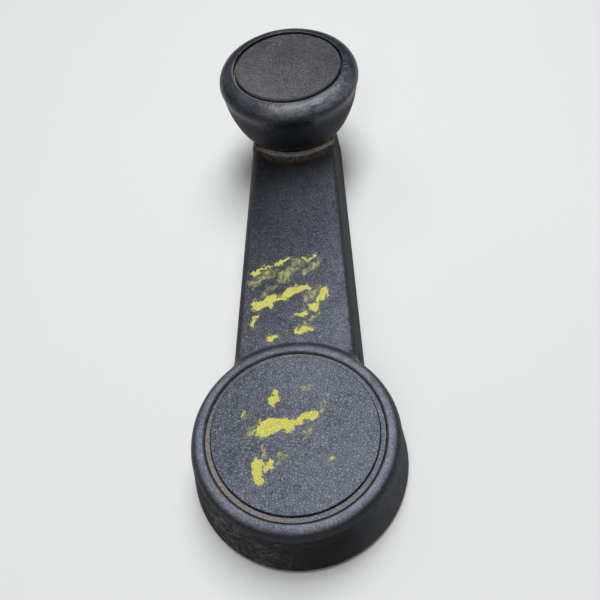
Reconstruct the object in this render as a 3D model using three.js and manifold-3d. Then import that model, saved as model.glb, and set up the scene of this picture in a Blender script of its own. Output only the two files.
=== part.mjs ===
// A window winder handle: a moulded crank arm that turns a window regulator's
// splined spindle, with a knob that spins on a steel spindle at its far end.
//
// Millimetres, +Z up. The crank axis is Z, pointing away from the door, and the
// arm runs along +Y. The origin is the centre of the splined socket's end face,
// where the regulator's spindle seats. The pieces are first built with Z = 0 in
// the plane of the door trim, where the friction ring bears, and then lowered.

import * as THREE from "three";
import { mergeVertices } from "three/addons/utils/BufferGeometryUtils.js";
import Module from "manifold-3d";

const wasm = await Module();
wasm.setup();

// ---------------------------------------------------------------- dimensions

const WALL = 2.4; // wall of the crank arm moulding
const RUNNING = 0.1; // clearance between pieces that turn on each other
const SEAT = 0.05; // gap between faces that rest on each other
const FIT = 0.15; // clearance round a piece that sits in a hole or pocket
const DRAFT = Math.tan(THREE.MathUtils.degToRad(8.9)); // taper of the outside walls

// Crank arm: hub end
const RIM_Z = 0.8; // back rim, held off the trim by the friction ring
const HUB_BASE_R = 25.9;
const HUB_TOP_Z = RIM_Z + 16.7;
const BEAD_R = 3.5; // rounded shoulder round the hub's face
const BEAD_OUT_R = 23.96;
const BEAD_START = THREE.MathUtils.degToRad(-8); // the shoulder starts a little undercut
const POCKET_R = 20.37; // pocket that the hub cap snaps into
const POCKET_Z = 12.1;
const DECK_Z = 9.9; // underside of the pocket's floor

// Crank arm: arm end
const REACH = 107.3; // crank axis to the spindle's foot
const ARM_R0 = 16.1; // half width on the crank axis, at the foot of the top rounding
const ARM_R1 = 12.55; // half width at the spindle
const ARM_TOP_Z = 14.26; // top face on the crank axis
const ARM_SLOPE = 0.0227; // the top face rises towards the knob
const ARM_ROUND = 2.5; // rounding of the top edges
const RIB = 1.5;
const RIB_FOOT_Z = 2.5; // ribs stop short of the back rim
const CROSS_RIBS_Y = [33, 51, 69, 90];
const KNOB_TILT = THREE.MathUtils.degToRad(2); // spindle leans towards the hub
const SEAT_BOSS_R = 17; // low round boss under the knob
const SEAT_BOSS_H = 0.75;

// Core strap
const STRAP_Z = 6;
const STRAP_T = 2;
const STRAP_HALF = 7.5;
const STRAP_HUB_R = 13;
const STRAP_SCREWS_Y = [40, 80];

// Drive boss and its clip
const BARREL_R = 9;
const BARREL_Z = 1.6;
const SOCKET_TOP_Z = 10.6; // end of the splined socket, where the spindle's end seats
const FLANGE_R = 15.5;
const FLANGE_T = 2;
const BOSS_SCREW_CIRCLE_R = 11.5;
const SPLINE_TEETH = 20;
const SPLINE_TIP_R = 4.35;
const SPLINE_ROOT_R = 4.9;
const WIRE_R = 0.65;
const CLIP_Z = 3.8;
const CLIP_LEG_X = 4.45;

// Hub cap
const CAP_FACE_R = 19;
const CAP_STEP = 0.7; // depth of the ring round the cap's raised face
const CAP_T = 1.5;

// Friction ring
const RING_IN_R = 14.6;
const RING_OUT_R = 22.8;
const RING_T = 1.6;
const RING_COLLAR_R = 16.2;
const RING_BEAD_R = 16.9;
const RING_TOP_Z = 4.6;
const SNAP_LIP_R = 16.4; // moulded lip that the ring's bead hooks over
const SNAP_WALL_R = 17.2;
const SNAP_WALL_T = 1.6;

// Knob, measured along the spindle from the arm's top face
const KNOB_U = SEAT_BOSS_H + 1.1; // foot of the knob
const KNOB_H = 18;
const JOURNAL_R = 4;
const SHANK_R = 3;
const BORE_R = 5.45; // bore of the knob, filled by the bush
const TUBE_R = 8.5;
const WELL_R = 9;
const INLAY_R = 15.9;
const INLAY_T = 1.4;

// ------------------------------------------------------------------ materials

const moulded = new THREE.MeshStandardMaterial({ color: 0x1b1d22, roughness: 0.55 });
const knobPlastic = new THREE.MeshStandardMaterial({ color: 0x16181c, roughness: 0.4 });
const inlayPlastic = new THREE.MeshStandardMaterial({ color: 0x26272a, roughness: 0.7 });
const acetal = new THREE.MeshStandardMaterial({ color: 0xb9ab94, roughness: 0.5 });
const blackAcetal = new THREE.MeshStandardMaterial({ color: 0x101114, roughness: 0.45 });
const zincCasting = new THREE.MeshStandardMaterial({ color: 0x8d9094, roughness: 0.5, metalness: 1 });
const platedSteel = new THREE.MeshStandardMaterial({ color: 0xb0ab98, roughness: 0.35, metalness: 1 });
const springSteel = new THREE.MeshStandardMaterial({ color: 0x4c4d50, roughness: 0.4, metalness: 1 });

// -------------------------------------------------------------------- helpers

const at = (r, z) => new THREE.Vector2(r, z);

/** Points of an arc in a lathe profile, from one angle to another. */
function arc(centreR, centreZ, radiusR, radiusZ, from, to, steps) {
  const points = [];
  for (let i = 0; i <= steps; i++) {
    const angle = from + ((to - from) * i) / steps;
    points.push(at(centreR + radiusR * Math.cos(angle), centreZ + radiusZ * Math.sin(angle)));
  }
  return points;
}

/** Revolves a profile, listed anticlockwise in (radius, height), about Z. */
function revolve(profile, segments = 48) {
  const closed = profile[0].x > 0 ? [...profile, profile[0].clone()] : profile;
  return new THREE.LatheGeometry(closed, segments).rotateX(Math.PI / 2);
}

/** A ring of rectangular section about Z. */
function ring(inner, outer, low, high, segments = 48) {
  return revolve([at(inner, low), at(outer, low), at(outer, high), at(inner, high)], segments);
}

/** A plain cylinder about Z. */
function cylinder(radius, low, high, segments = 48) {
  return revolve([at(0, low), at(radius, low), at(radius, high), at(0, high)], segments);
}

/** A box given by its lowest and highest corners. */
function box(low, high) {
  const size = high.map((value, i) => value - low[i]);
  const centre = high.map((value, i) => (value + low[i]) / 2);
  return new THREE.BoxGeometry(...size).translate(...centre);
}

/** Extrudes a shape in the XY plane from one height to another. */
function prism(shape, low, high, curveSegments = 12) {
  const options = { depth: high - low, bevelEnabled: false, curveSegments };
  return new THREE.ExtrudeGeometry(shape, options).translate(0, 0, low);
}

/** A geometry as a manifold solid. */
function solid(geometry) {
  const bare = geometry.clone();
  bare.deleteAttribute("normal");
  bare.deleteAttribute("uv");
  const merged = mergeVertices(bare, 1e-4);
  return new wasm.Manifold(
    new wasm.Mesh({
      numProp: 3,
      vertProperties: merged.attributes.position.array,
      triVerts: new Uint32Array(merged.index.array),
    }),
  );
}

const join = (...geometries) => geometries.map(solid).reduce((a, b) => a.add(b));

/** A manifold solid as a geometry. */
function geometryOf(manifold) {
  const mesh = manifold.getMesh();
  const positions = new Float32Array(mesh.numVert * 3);
  for (let i = 0; i < mesh.numVert; i++) {
    const start = i * mesh.numProp;
    positions.set(mesh.vertProperties.subarray(start, start + 3), i * 3);
  }
  return new THREE.BufferGeometry()
    .setAttribute("position", new THREE.BufferAttribute(positions, 3))
    .setIndex(new THREE.BufferAttribute(mesh.triVerts, 1));
}

/** The largest body of a solid, without the slivers that meeting faces leave behind. */
function mainBody(manifold) {
  return manifold.decompose().reduce((a, b) => (b.volume() > a.volume() ? b : a));
}

/** A named mesh from a geometry or a manifold solid. */
function piece(name, shape, material) {
  const geometry = shape.isBufferGeometry ? shape : geometryOf(shape);
  const mesh = new THREE.Mesh(geometry, material);
  mesh.name = name;
  return mesh;
}

// ------------------------------------------------------------- the arm's body

const armTop = (y) => ARM_TOP_Z + ARM_SLOPE * y;

/** The arm's outline seen from above: two round ends joined by tangents. */
function armOutline(hubRadius, knobRadius) {
  const lean = Math.asin((hubRadius - knobRadius) / REACH);
  const outline = new THREE.Shape();
  outline.absarc(0, REACH, knobRadius, lean, Math.PI - lean, false);
  outline.absarc(0, 0, hubRadius, Math.PI - lean, 2 * Math.PI + lean, false);
  return outline.getPoints(14);
}

/** Skins levels of equal point counts into one closed body, lowest level first. */
function loft(levels) {
  const count = levels[0].length;
  const positions = levels.flat().flatMap((p) => [p.x, p.y, p.z]);
  const index = [];
  for (let level = 0; level + 1 < levels.length; level++) {
    for (let i = 0; i < count; i++) {
      const a = level * count + i;
      const b = level * count + ((i + 1) % count);
      index.push(a, b, b + count, a, b + count, a + count);
    }
  }
  const top = (levels.length - 1) * count;
  for (let i = 1; i + 1 < count; i++) {
    index.push(0, i + 1, i, top, top + i, top + i + 1);
  }
  return new THREE.BufferGeometry()
    .setAttribute("position", new THREE.Float32BufferAttribute(positions, 3))
    .setIndex(index);
}

/** The arm's outside, or its hollow when inset by the wall's thickness. */
function armBody(inset, floorZ) {
  const round = Math.max(ARM_ROUND - inset, 0.4);
  const shoulder = (y) => armTop(y) - inset - round;
  const level = (offset, height) =>
    armOutline(ARM_R0 - inset + offset(0), ARM_R1 - inset + offset(REACH))
      .slice(0, -1)
      .map((p) => new THREE.Vector3(p.x, p.y, height(p.y)));
  const levels = [level((y) => (shoulder(y) - floorZ) * DRAFT, () => floorZ)];
  const steps = inset > 0 ? 1 : 4;
  for (let i = 0; i <= steps; i++) {
    const angle = (Math.PI / 2) * (i / steps);
    levels.push(
      level(
        () => -round * (1 - Math.cos(angle)),
        (y) => shoulder(y) + round * Math.sin(angle),
      ),
    );
  }
  return loft(levels);
}

/** Moves geometry from the spindle's frame, along its axis, to the part's frame. */
function onSpindle(geometry) {
  return geometry.rotateX(KNOB_TILT).translate(0, REACH, armTop(REACH));
}

// ------------------------------------------------------------------ crank arm

function hubBody() {
  const centreR = BEAD_OUT_R - BEAD_R;
  const centreZ = HUB_TOP_Z - BEAD_R;
  const shoulder = arc(centreR, centreZ, BEAD_R, BEAD_R, BEAD_START, Math.PI / 2, 6);
  return revolve([at(0, RIM_Z), at(HUB_BASE_R, RIM_Z), ...shoulder, at(0, HUB_TOP_Z)], 60);
}

function hubHollow(wall) {
  const high = DECK_Z + WALL - wall;
  const topR = HUB_BASE_R - wall - (high - RIM_Z) * DRAFT;
  const low = RIM_Z - 1;
  return revolve([at(0, low), at(HUB_BASE_R - wall, low), at(topR, high), at(0, high)], 60);
}

/** The space inside the hub and the arm, for a given wall. */
const hollowOf = (wall) => join(hubHollow(wall), armBody(wall, RIM_Z - 1));

/** Ribs, rings and bosses before they are trimmed to the hollow. */
function stiffening() {
  const high = HUB_TOP_Z;
  const ribs = [];
  for (const x of [-4.6, 4.6]) {
    ribs.push(box([x - RIB / 2, 12, RIB_FOOT_Z], [x + RIB / 2, REACH, high]));
  }
  for (const y of CROSS_RIBS_Y) {
    ribs.push(box([-20, y - RIB / 2, RIB_FOOT_Z], [20, y + RIB / 2, high]));
  }
  for (let i = 0; i < 8; i++) {
    const rib = box([12, -RIB / 2, RIB_FOOT_Z], [26, RIB / 2, high]);
    ribs.push(rib.rotateZ((i + 0.5) * (Math.PI / 4)));
  }
  ribs.push(ring(BARREL_R + FIT, STRAP_HUB_R + 0.4, RIB_FOOT_Z, high, 40));
  ribs.push(ring(SNAP_WALL_R, SNAP_WALL_R + SNAP_WALL_T, RIB_FOOT_Z, RING_TOP_Z + 1, 60));
  for (const y of STRAP_SCREWS_Y) {
    ribs.push(cylinder(3.8, RIB_FOOT_Z, high, 24).translate(0, y, 0));
  }
  ribs.push(onSpindle(cylinder(7.5, STRAP_Z + STRAP_T - armTop(REACH) - 0.5, 0, 28)));
  return join(...ribs);
}

/** Space under the stiffening for the strap, the drive boss and the friction ring. */
function strapSpace() {
  const top = STRAP_Z + STRAP_T + SEAT;
  const gap = 0.4;
  const slot = armOutline(STRAP_HALF + gap, STRAP_HALF + gap).slice(0, -1);
  const run = prism(new THREE.Shape(slot), -1, top);
  const eye = cylinder(STRAP_HUB_R + gap, -1, top, 40);
  const ringTrack = ring(RING_IN_R - 0.6, SNAP_WALL_R, -1, RING_TOP_Z + 0.6, 60);
  const spokes = ring(12, RING_OUT_R + 0.5, -1, RIB_FOOT_Z + 0.2, 60);
  return join(run, eye, ringTrack, spokes);
}

function crankArm() {
  const outside = join(hubBody(), armBody(0, RIM_Z)).add(
    solid(onSpindle(cylinder(SEAT_BOSS_R, -3, SEAT_BOSS_H, 48))).intersect(
      solid(armBody(0, RIM_Z).translate(0, 0, SEAT_BOSS_H)),
    ),
  );
  const hollow = hollowOf(WALL);
  const stiff = stiffening().intersect(hollowOf(WALL / 2)).subtract(strapSpace());
  const lip = solid(
    ring(SNAP_LIP_R, SNAP_WALL_R + SNAP_WALL_T, RIB_FOOT_Z + 0.2, RIB_FOOT_Z + 0.9, 60),
  );
  const pocket = solid(cylinder(POCKET_R, POCKET_Z, HUB_TOP_Z + 1, 60));
  const barrelHole = solid(cylinder(BARREL_R + FIT, 0, POCKET_Z + 1, 40));
  let body = outside.subtract(hollow).add(stiff).add(lip);
  body = body.add(solid(cylinder(POCKET_R + 1, DECK_Z, POCKET_Z, 60)));
  body = body.subtract(pocket).subtract(barrelHole);
  body = body.subtract(solid(onSpindle(cylinder(SHANK_R + FIT, -20, 5, 24))));
  for (const y of STRAP_SCREWS_Y) {
    body = body.subtract(solid(cylinder(1.55, 0, STRAP_Z + 6.4, 12).translate(0, y, 0)));
  }
  for (const [x, y] of bossScrewPlaces()) {
    body = body.subtract(solid(cylinder(1.35, DECK_Z - 4, POCKET_Z + 1, 12).translate(x, y, 0)));
  }
  return mainBody(body);
}

// ----------------------------------------------------------------- hub pieces

function bossScrewPlaces() {
  return [0, 1, 2, 3].map((i) => {
    const angle = Math.PI / 4 + (i * Math.PI) / 2;
    return [BOSS_SCREW_CIRCLE_R * Math.cos(angle), BOSS_SCREW_CIRCLE_R * Math.sin(angle)];
  });
}

function driveBoss() {
  const top = POCKET_Z + SEAT + FLANGE_T;
  const body = revolve([
    at(0, BARREL_Z),
    at(BARREL_R - 0.8, BARREL_Z),
    at(BARREL_R, BARREL_Z + 0.8),
    at(BARREL_R, POCKET_Z + SEAT),
    at(FLANGE_R, POCKET_Z + SEAT),
    at(FLANGE_R, top - 0.4),
    at(FLANGE_R - 0.4, top),
    at(4, top),
    at(3.2, top - 0.8),
    at(0, top - 0.8),
  ], 36);
  const teeth = new THREE.Shape();
  for (let i = 0; i < SPLINE_TEETH * 2; i++) {
    const angle = (i * Math.PI) / SPLINE_TEETH;
    const r = i % 2 ? SPLINE_TIP_R : SPLINE_ROOT_R;
    const point = [r * Math.cos(angle), r * Math.sin(angle)];
    if (i) teeth.lineTo(...point);
    else teeth.moveTo(...point);
  }
  const mouth = revolve([
    at(0, BARREL_Z - 0.1),
    at(5.7, BARREL_Z - 0.1),
    at(4.4, BARREL_Z + 1.2),
    at(0, BARREL_Z + 1.2),
  ], 40);
  let boss = solid(body).subtract(solid(prism(teeth, BARREL_Z - 1, SOCKET_TOP_Z)));
  boss = boss.subtract(solid(mouth));
  const slotHalf = WIRE_R + 0.15;
  for (const side of [-1, 1]) {
    const x = side * CLIP_LEG_X;
    boss = boss.subtract(
      solid(box([x - slotHalf, -12, CLIP_Z - slotHalf], [x + slotHalf, 12, CLIP_Z + slotHalf])),
    );
  }
  for (const [x, y] of bossScrewPlaces()) {
    boss = boss.subtract(solid(cylinder(1.6, POCKET_Z - 1, top + 1, 12).translate(x, y, 0)));
  }
  return boss;
}

/** A round wire bent to a horseshoe: two legs, with flared tips, and a bow. */
function retainingClip() {
  const bow = 4.6;
  const bowY = -8.9;
  const half = [
    [CLIP_LEG_X + 1.5, 10.4],
    [CLIP_LEG_X + 0.5, 9.3],
    [CLIP_LEG_X, 8.3],
    [CLIP_LEG_X, 0],
    [CLIP_LEG_X, bowY + 1.2],
    [bow + 0.3, bowY - 1],
    [bow * 0.75, bowY - 3.1],
  ];
  const bend = [
    ...half.map(([x, y]) => new THREE.Vector3(x, y, CLIP_Z)),
    new THREE.Vector3(0, bowY - bow + 0.6, CLIP_Z),
    ...half.reverse().map(([x, y]) => new THREE.Vector3(-x, y, CLIP_Z)),
  ];
  const section = new THREE.Shape().absarc(0, 0, WIRE_R, 0, 2 * Math.PI, false);
  const options = {
    steps: 30,
    curveSegments: 5,
    bevelEnabled: false,
    extrudePath: new THREE.CatmullRomCurve3(bend, false, "centripetal"),
  };
  return new THREE.ExtrudeGeometry(section, options);
}

function hubCap() {
  const low = HUB_TOP_Z - CAP_T;
  const outer = POCKET_R - 0.12;
  const plate = revolve([
    at(0, low),
    at(outer, low),
    at(outer, HUB_TOP_Z - CAP_STEP),
    at(CAP_FACE_R, HUB_TOP_Z - CAP_STEP),
    at(CAP_FACE_R, HUB_TOP_Z - 0.25),
    at(CAP_FACE_R - 0.25, HUB_TOP_Z),
    at(0, HUB_TOP_Z),
  ], 60);
  let cap = solid(plate);
  const fingers = 6;
  for (let i = 0; i < fingers; i++) {
    const finger = box([18.7, -2.4, POCKET_Z + 0.5], [20.05, 2.4, low + 0.2]);
    cap = cap.add(solid(finger.rotateZ((i * 2 * Math.PI) / fingers)));
  }
  return cap;
}

function frictionRing() {
  return revolve([
    at(RING_IN_R, 0.3),
    at(RING_IN_R + 0.3, 0),
    at(RING_OUT_R - 0.3, 0),
    at(RING_OUT_R, 0.3),
    at(RING_OUT_R, RING_T),
    at(RING_COLLAR_R, RING_T),
    at(RING_COLLAR_R, RING_TOP_Z - 1.1),
    at(RING_BEAD_R, RING_TOP_Z - 0.7),
    at(RING_COLLAR_R + 0.2, RING_TOP_Z),
    at(RING_IN_R, RING_TOP_Z),
  ], 60);
}

/** A pan-head screw pointing down, its head's underside at Z = 0. */
function screw(headRadius, headHeight, shankRadius, length) {
  const body = revolve([
    at(0, -length),
    at(shankRadius * 0.45, -length),
    at(shankRadius, -length + 1.6),
    at(shankRadius, 0),
    at(headRadius, 0),
    at(headRadius, headHeight * 0.55),
    at(headRadius * 0.72, headHeight),
    at(0, headHeight),
  ], 16);
  let made = solid(body);
  for (const turn of [0, Math.PI / 2]) {
    const slot = box([-headRadius * 0.5, -0.3, headHeight * 0.45], [headRadius * 0.5, 0.3, headHeight + 1]);
    made = made.subtract(solid(slot.rotateZ(turn + 0.4)));
  }
  return geometryOf(made);
}

// ------------------------------------------------------------------ core strap

function coreStrap() {
  const high = STRAP_Z + STRAP_T;
  const run = prism(new THREE.Shape(armOutline(STRAP_HALF, STRAP_HALF).slice(0, -1)), STRAP_Z, high);
  let strap = join(run, cylinder(STRAP_HUB_R, STRAP_Z, high, 40));
  strap = strap.subtract(solid(cylinder(BARREL_R + FIT, STRAP_Z - 1, high + 1, 40)));
  for (const y of STRAP_SCREWS_Y) {
    strap = strap.subtract(solid(cylinder(1.8, STRAP_Z - 1, high + 1, 16).translate(0, y, 0)));
  }
  for (const y of [24, 60, 93]) {
    strap = strap.subtract(solid(cylinder(3, STRAP_Z - 1, high + 1, 20).translate(0, y, 0)));
  }
  return strap.subtract(solid(onSpindle(cylinder(SHANK_R + FIT, -20, 0, 24))));
}

// ----------------------------------------------------------------- knob pieces

/** Radius of the knob's bowl at a height above its foot. */
function bowlRadius(height) {
  const foot = 16.6;
  const widest = 20.35;
  const top = KNOB_H - 4.4;
  return foot + (widest - foot) * Math.sin((Math.PI / 2) * Math.min(height / top, 1)) ** 0.8;
}

function knobBody() {
  const rimTop = KNOB_H;
  const bowl = [1, 3.5, 7, 10.5, 13.2].map((h) => at(bowlRadius(h), h));
  const inside = [13.4, 8, 4, 1].map((h) => at(bowlRadius(h) - 2.3, h));
  const profile = [
    at(bowlRadius(0) - 0.5, 0),
    ...bowl,
    ...arc(16.4, rimTop - 3.7, 4.35, 3.7, -0.12, Math.PI / 2, 6),
    at(INLAY_R + 0.2, rimTop - 0.1),
    at(INLAY_R + 0.2, rimTop - INLAY_T - 0.2),
    at(WELL_R, rimTop - INLAY_T - 0.2),
    at(WELL_R, rimTop - 5.2),
    at(BORE_R, rimTop - 5.2),
    at(BORE_R, 1.2),
    at(TUBE_R, 1.2),
    at(TUBE_R, rimTop - 7.2),
    at(WELL_R + 2.4, rimTop - 7.2),
    at(WELL_R + 2.4, 14.1),
    ...inside,
    at(bowlRadius(0) - 2, 0),
  ];
  const shell = solid(revolve(profile, 48));
  const hollow = solid(
    revolve([at(TUBE_R - 0.3, 1.5), at(bowlRadius(0) - 1.9, 1.5), at(bowlRadius(9) - 1.5, 9),
      at(bowlRadius(9) - 1.5, 14.3), at(TUBE_R - 0.3, 14.3)], 48),
  );
  const ribs = [];
  for (let i = 0; i < 6; i++) {
    ribs.push(box([TUBE_R - 0.2, -0.7, 1.5], [20, 0.7, 14.3]).rotateZ((i * Math.PI) / 3));
  }
  return shell.add(join(...ribs).intersect(hollow));
}

function knobBush() {
  const top = KNOB_H - 5.25;
  return revolve([
    at(JOURNAL_R + RUNNING, 0),
    at(TUBE_R - 0.3, 0),
    at(TUBE_R - 0.3, 1),
    at(BORE_R - RUNNING, 1),
    at(BORE_R - RUNNING, top),
    at(JOURNAL_R + RUNNING, top),
  ], 32);
}

function knobInlay() {
  const high = KNOB_H - 0.15;
  const low = high - INLAY_T + 0.1;
  const disc = revolve([
    at(0, low),
    at(INLAY_R, low),
    at(INLAY_R, high - 0.35),
    at(INLAY_R - 0.35, high),
    at(0, high),
  ], 48);
  return solid(disc).add(solid(ring(WELL_R - 1.6, WELL_R - 0.15, low - 1.4, low + 0.1, 36)));
}

/** Measured along the spindle from the arm's top face. */
function knobSpindle() {
  const tail = -(armTop(REACH) - STRAP_Z) - 1.2;
  const groove = KNOB_U + KNOB_H - 3.6;
  return revolve([
    at(0, tail - 1.7),
    at(2.6, tail - 1.5),
    at(4.3, tail - 0.6),
    at(4.6, tail),
    at(SHANK_R, tail),
    at(SHANK_R, SEAT_BOSS_H + SEAT),
    at(6.2, SEAT_BOSS_H + SEAT),
    at(6.2, KNOB_U - 0.08),
    at(JOURNAL_R, KNOB_U - 0.08),
    at(JOURNAL_R, groove),
    at(SHANK_R, groove),
    at(SHANK_R, groove + 0.8),
    at(JOURNAL_R, groove + 0.8),
    at(JOURNAL_R, groove + 1.1),
    at(JOURNAL_R - 0.5, groove + 1.5),
    at(0, groove + 1.5),
  ], 32);
}

/** A spring washer bent to three waves. */
function waveWasher(inner, outer, low, thickness, rise) {
  const flat = ring(inner, outer, low, low + thickness, 48);
  const place = flat.getAttribute("position");
  for (let i = 0; i < place.count; i++) {
    const angle = Math.atan2(place.getY(i), place.getX(i));
    place.setZ(i, place.getZ(i) + (rise / 2) * (1 + Math.cos(3 * angle)));
  }
  return flat;
}

/** An E-clip: an open ring with three inward lugs that grip the groove. */
function spindleClip(low, high) {
  let clip = solid(ring(4.5, 6.6, low, high, 32));
  for (const turn of [0, (2 * Math.PI) / 3, (-2 * Math.PI) / 3]) {
    clip = clip.add(solid(box([SHANK_R + 0.2, -1.1, low], [5, 1.1, high]).rotateZ(turn)));
  }
  return clip.subtract(solid(box([-8, -2.3, low - 1], [-3, 2.3, high + 1])));
}

// -------------------------------------------------------------------- assembly

const handle = new THREE.Group();

handle.add(piece("crank_arm", crankArm(), moulded));
handle.add(piece("core_strap", coreStrap(), platedSteel));
handle.add(piece("drive_boss", driveBoss(), zincCasting));
handle.add(piece("retaining_clip", retainingClip(), springSteel));
handle.add(piece("friction_ring", frictionRing(), blackAcetal));
handle.add(piece("hub_cap", hubCap(), moulded));

bossScrewPlaces().forEach(([x, y], i) => {
  const bossScrew = piece(`boss_screw_${i + 1}`, screw(2.5, 1.5, 1.2, 5), platedSteel);
  bossScrew.position.set(x, y, POCKET_Z + SEAT + FLANGE_T + SEAT);
  handle.add(bossScrew);
});

STRAP_SCREWS_Y.forEach((y, i) => {
  const strapScrew = piece(`strap_screw_${i + 1}`, screw(3.2, 2, 1.4, 6), platedSteel);
  strapScrew.rotation.x = Math.PI;
  strapScrew.position.set(0, y, STRAP_Z - SEAT);
  handle.add(strapScrew);
});

// Everything on the knob's spindle, in the spindle's own frame.
const onArm = new THREE.Group();
onArm.position.set(0, REACH, armTop(REACH));
onArm.rotation.x = KNOB_TILT;
handle.add(onArm);

const rivetTop = -(armTop(REACH) - STRAP_Z) - 0.3;
onArm.add(piece("knob_spindle", knobSpindle(), platedSteel));
onArm.add(piece("rivet_washer", ring(SHANK_R + 0.15, 6.4, rivetTop - 0.8, rivetTop, 32), platedSteel));
onArm.add(
  piece("thrust_washer", ring(6.5, 14.8, SEAT_BOSS_H + 0.1, KNOB_U - 0.15, 48), acetal),
);

const knob = new THREE.Group();
knob.position.z = KNOB_U;
onArm.add(knob);
const wellFloor = KNOB_H - 5.2;
const flatWasherU = KNOB_U + wellFloor + 0.9;
knob.add(piece("knob_body", knobBody(), knobPlastic));
knob.add(piece("knob_bush", knobBush(), acetal));
knob.add(piece("knob_inlay", knobInlay(), inlayPlastic));
onArm.add(
  piece("wave_washer", waveWasher(4.15, 7.2, KNOB_U + wellFloor + 0.05, 0.3, 0.5), springSteel),
);
onArm.add(
  piece("flat_washer", ring(4.15, 7.4, flatWasherU, flatWasherU + 0.65, 32), platedSteel),
);
onArm.add(
  piece("spindle_clip", spindleClip(KNOB_U + wellFloor + 1.65, KNOB_U + wellFloor + 2.3), springSteel),
);

handle.position.z = -SOCKET_TOP_Z;
const part = new THREE.Group();
part.add(handle);

export default part;
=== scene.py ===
from functools import reduce
from math import acos, asin, atan2, cos, pi, radians, sin, sqrt, tan

import bmesh
import bpy
import numpy as np
from mathutils import Matrix, Vector


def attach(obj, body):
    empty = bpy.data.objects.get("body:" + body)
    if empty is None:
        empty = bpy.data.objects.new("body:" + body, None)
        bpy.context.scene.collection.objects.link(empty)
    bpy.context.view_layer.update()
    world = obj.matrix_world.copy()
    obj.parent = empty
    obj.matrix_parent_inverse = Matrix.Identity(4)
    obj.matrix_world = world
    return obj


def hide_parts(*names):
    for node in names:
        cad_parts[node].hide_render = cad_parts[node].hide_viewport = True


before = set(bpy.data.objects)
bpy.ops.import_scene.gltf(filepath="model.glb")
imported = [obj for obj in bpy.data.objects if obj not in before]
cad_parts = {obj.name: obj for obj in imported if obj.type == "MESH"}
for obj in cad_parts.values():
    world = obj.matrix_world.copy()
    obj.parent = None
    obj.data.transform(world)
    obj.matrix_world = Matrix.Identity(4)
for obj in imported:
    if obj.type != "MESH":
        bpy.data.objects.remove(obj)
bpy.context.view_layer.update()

# A vehicle's window winder handle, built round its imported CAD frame. Lengths are
# millimetres from the plane of the door trim, as the pieces are dimensioned, until
# place() turns them into metres in the row frame, whose origin is the socket's end.

MM = 0.001
SOCKET_TOP_Z = 10.6
DRAFT_ANGLE = radians(8.9)
DRAFT = tan(DRAFT_ANGLE)

WALL = 2.4
RIM_Z = 0.8
HUB_BASE_R = 25.9
HUB_TOP_Z = 17.5
BEAD_R = 3.5
BEAD_OUT_R = 23.96
POCKET_R = 20.37
POCKET_Z = 12.1
DECK_Z = 9.9

REACH = 107.3
ARM_R0 = 16.1
ARM_R1 = 12.55
ARM_TOP_Z = 14.26
ARM_SLOPE = 0.0227
ARM_ROUND = 2.5
RIB = 1.5
RIB_FOOT_Z = 2.5
CROSS_RIBS_Y = (33, 51, 69, 90)
KNOB_TILT = radians(2)
SEAT_BOSS_R = 17
SEAT_BOSS_H = 0.75

STRAP_Z = 6
STRAP_T = 2
STRAP_HALF = 7.5
STRAP_HUB_R = 13
STRAP_SCREWS_Y = (40, 80)

FIT = 0.15
SCREW_HOLE_R = 1.55

BARREL_R = 9
BARREL_Z = 1.6
FLANGE_R = 15.5
FLANGE_T = 2
BOSS_SCREW_CIRCLE_R = 11.5
SPLINE_TEETH = 20
SPLINE_TIP_R = 4.35
SPLINE_ROOT_R = 4.9
WIRE_R = 0.65
CLIP_Z = 3.8
CLIP_LEG_X = 4.45

CAP_FACE_R = 19
CAP_STEP = 0.7
CAP_T = 1.5

RING_IN_R = 14.6
RING_OUT_R = 22.8
RING_T = 1.6
RING_COLLAR_R = 16.2
RING_BEAD_R = 16.9
RING_TOP_Z = 4.6
SNAP_LIP_R = 16.4
SNAP_WALL_R = 17.2
SNAP_WALL_T = 1.6

KNOB_U = SEAT_BOSS_H + 1.1
KNOB_H = 18
JOURNAL_R = 4
COLLAR_R = 6.2
SHANK_R = 3
BORE_R = 5.45
TUBE_R = 8.5
WELL_R = 9
WELL_FLOOR = KNOB_H - 5.2
INLAY_R = 15.9
INLAY_T = 1.4
BOWL_FOOT_R = 16.6
RIM_CENTRE_R = 16.4
RIM_DEPTH = 3.7
WASHER_BORE_R = 4.15


def arm_top(y):
    return ARM_TOP_Z + ARM_SLOPE * y


UPRIGHT = Matrix.Identity(4)
SPINDLE = Matrix.Translation((0, REACH, arm_top(REACH))) @ Matrix.Rotation(KNOB_TILT, 4, "X")
KNOB = SPINDLE @ Matrix.Translation((0, 0, KNOB_U))


# ---------------- mesh building


def rounded(profile, steps=5):
    """A profile of (radius, height, fillet) corners as points, each corner rounded off."""
    points = []
    count = len(profile)
    for i, corner in enumerate(profile):
        here = np.array(corner[:2], float)
        fillet = corner[2] if len(corner) > 2 else 0
        if not fillet:
            points.append(here)
            continue
        before = np.array(profile[i - 1][:2], float) - here
        after = np.array(profile[(i + 1) % count][:2], float) - here
        back = before / np.linalg.norm(before)
        ahead = after / np.linalg.norm(after)
        half = acos(np.clip(back @ ahead, -1, 1)) / 2
        reach = min(fillet / tan(half), 0.49 * np.linalg.norm(before), 0.49 * np.linalg.norm(after))
        radius = reach * tan(half)
        bisector = back + ahead
        centre = here + bisector / np.linalg.norm(bisector) * (radius / sin(half))
        start = here + back * reach - centre
        end = here + ahead * reach - centre
        for s in range(steps + 1):
            mixed = start * (1 - s / steps) + end * (s / steps)
            points.append(centre + mixed / np.linalg.norm(mixed) * radius)
    return points


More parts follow.
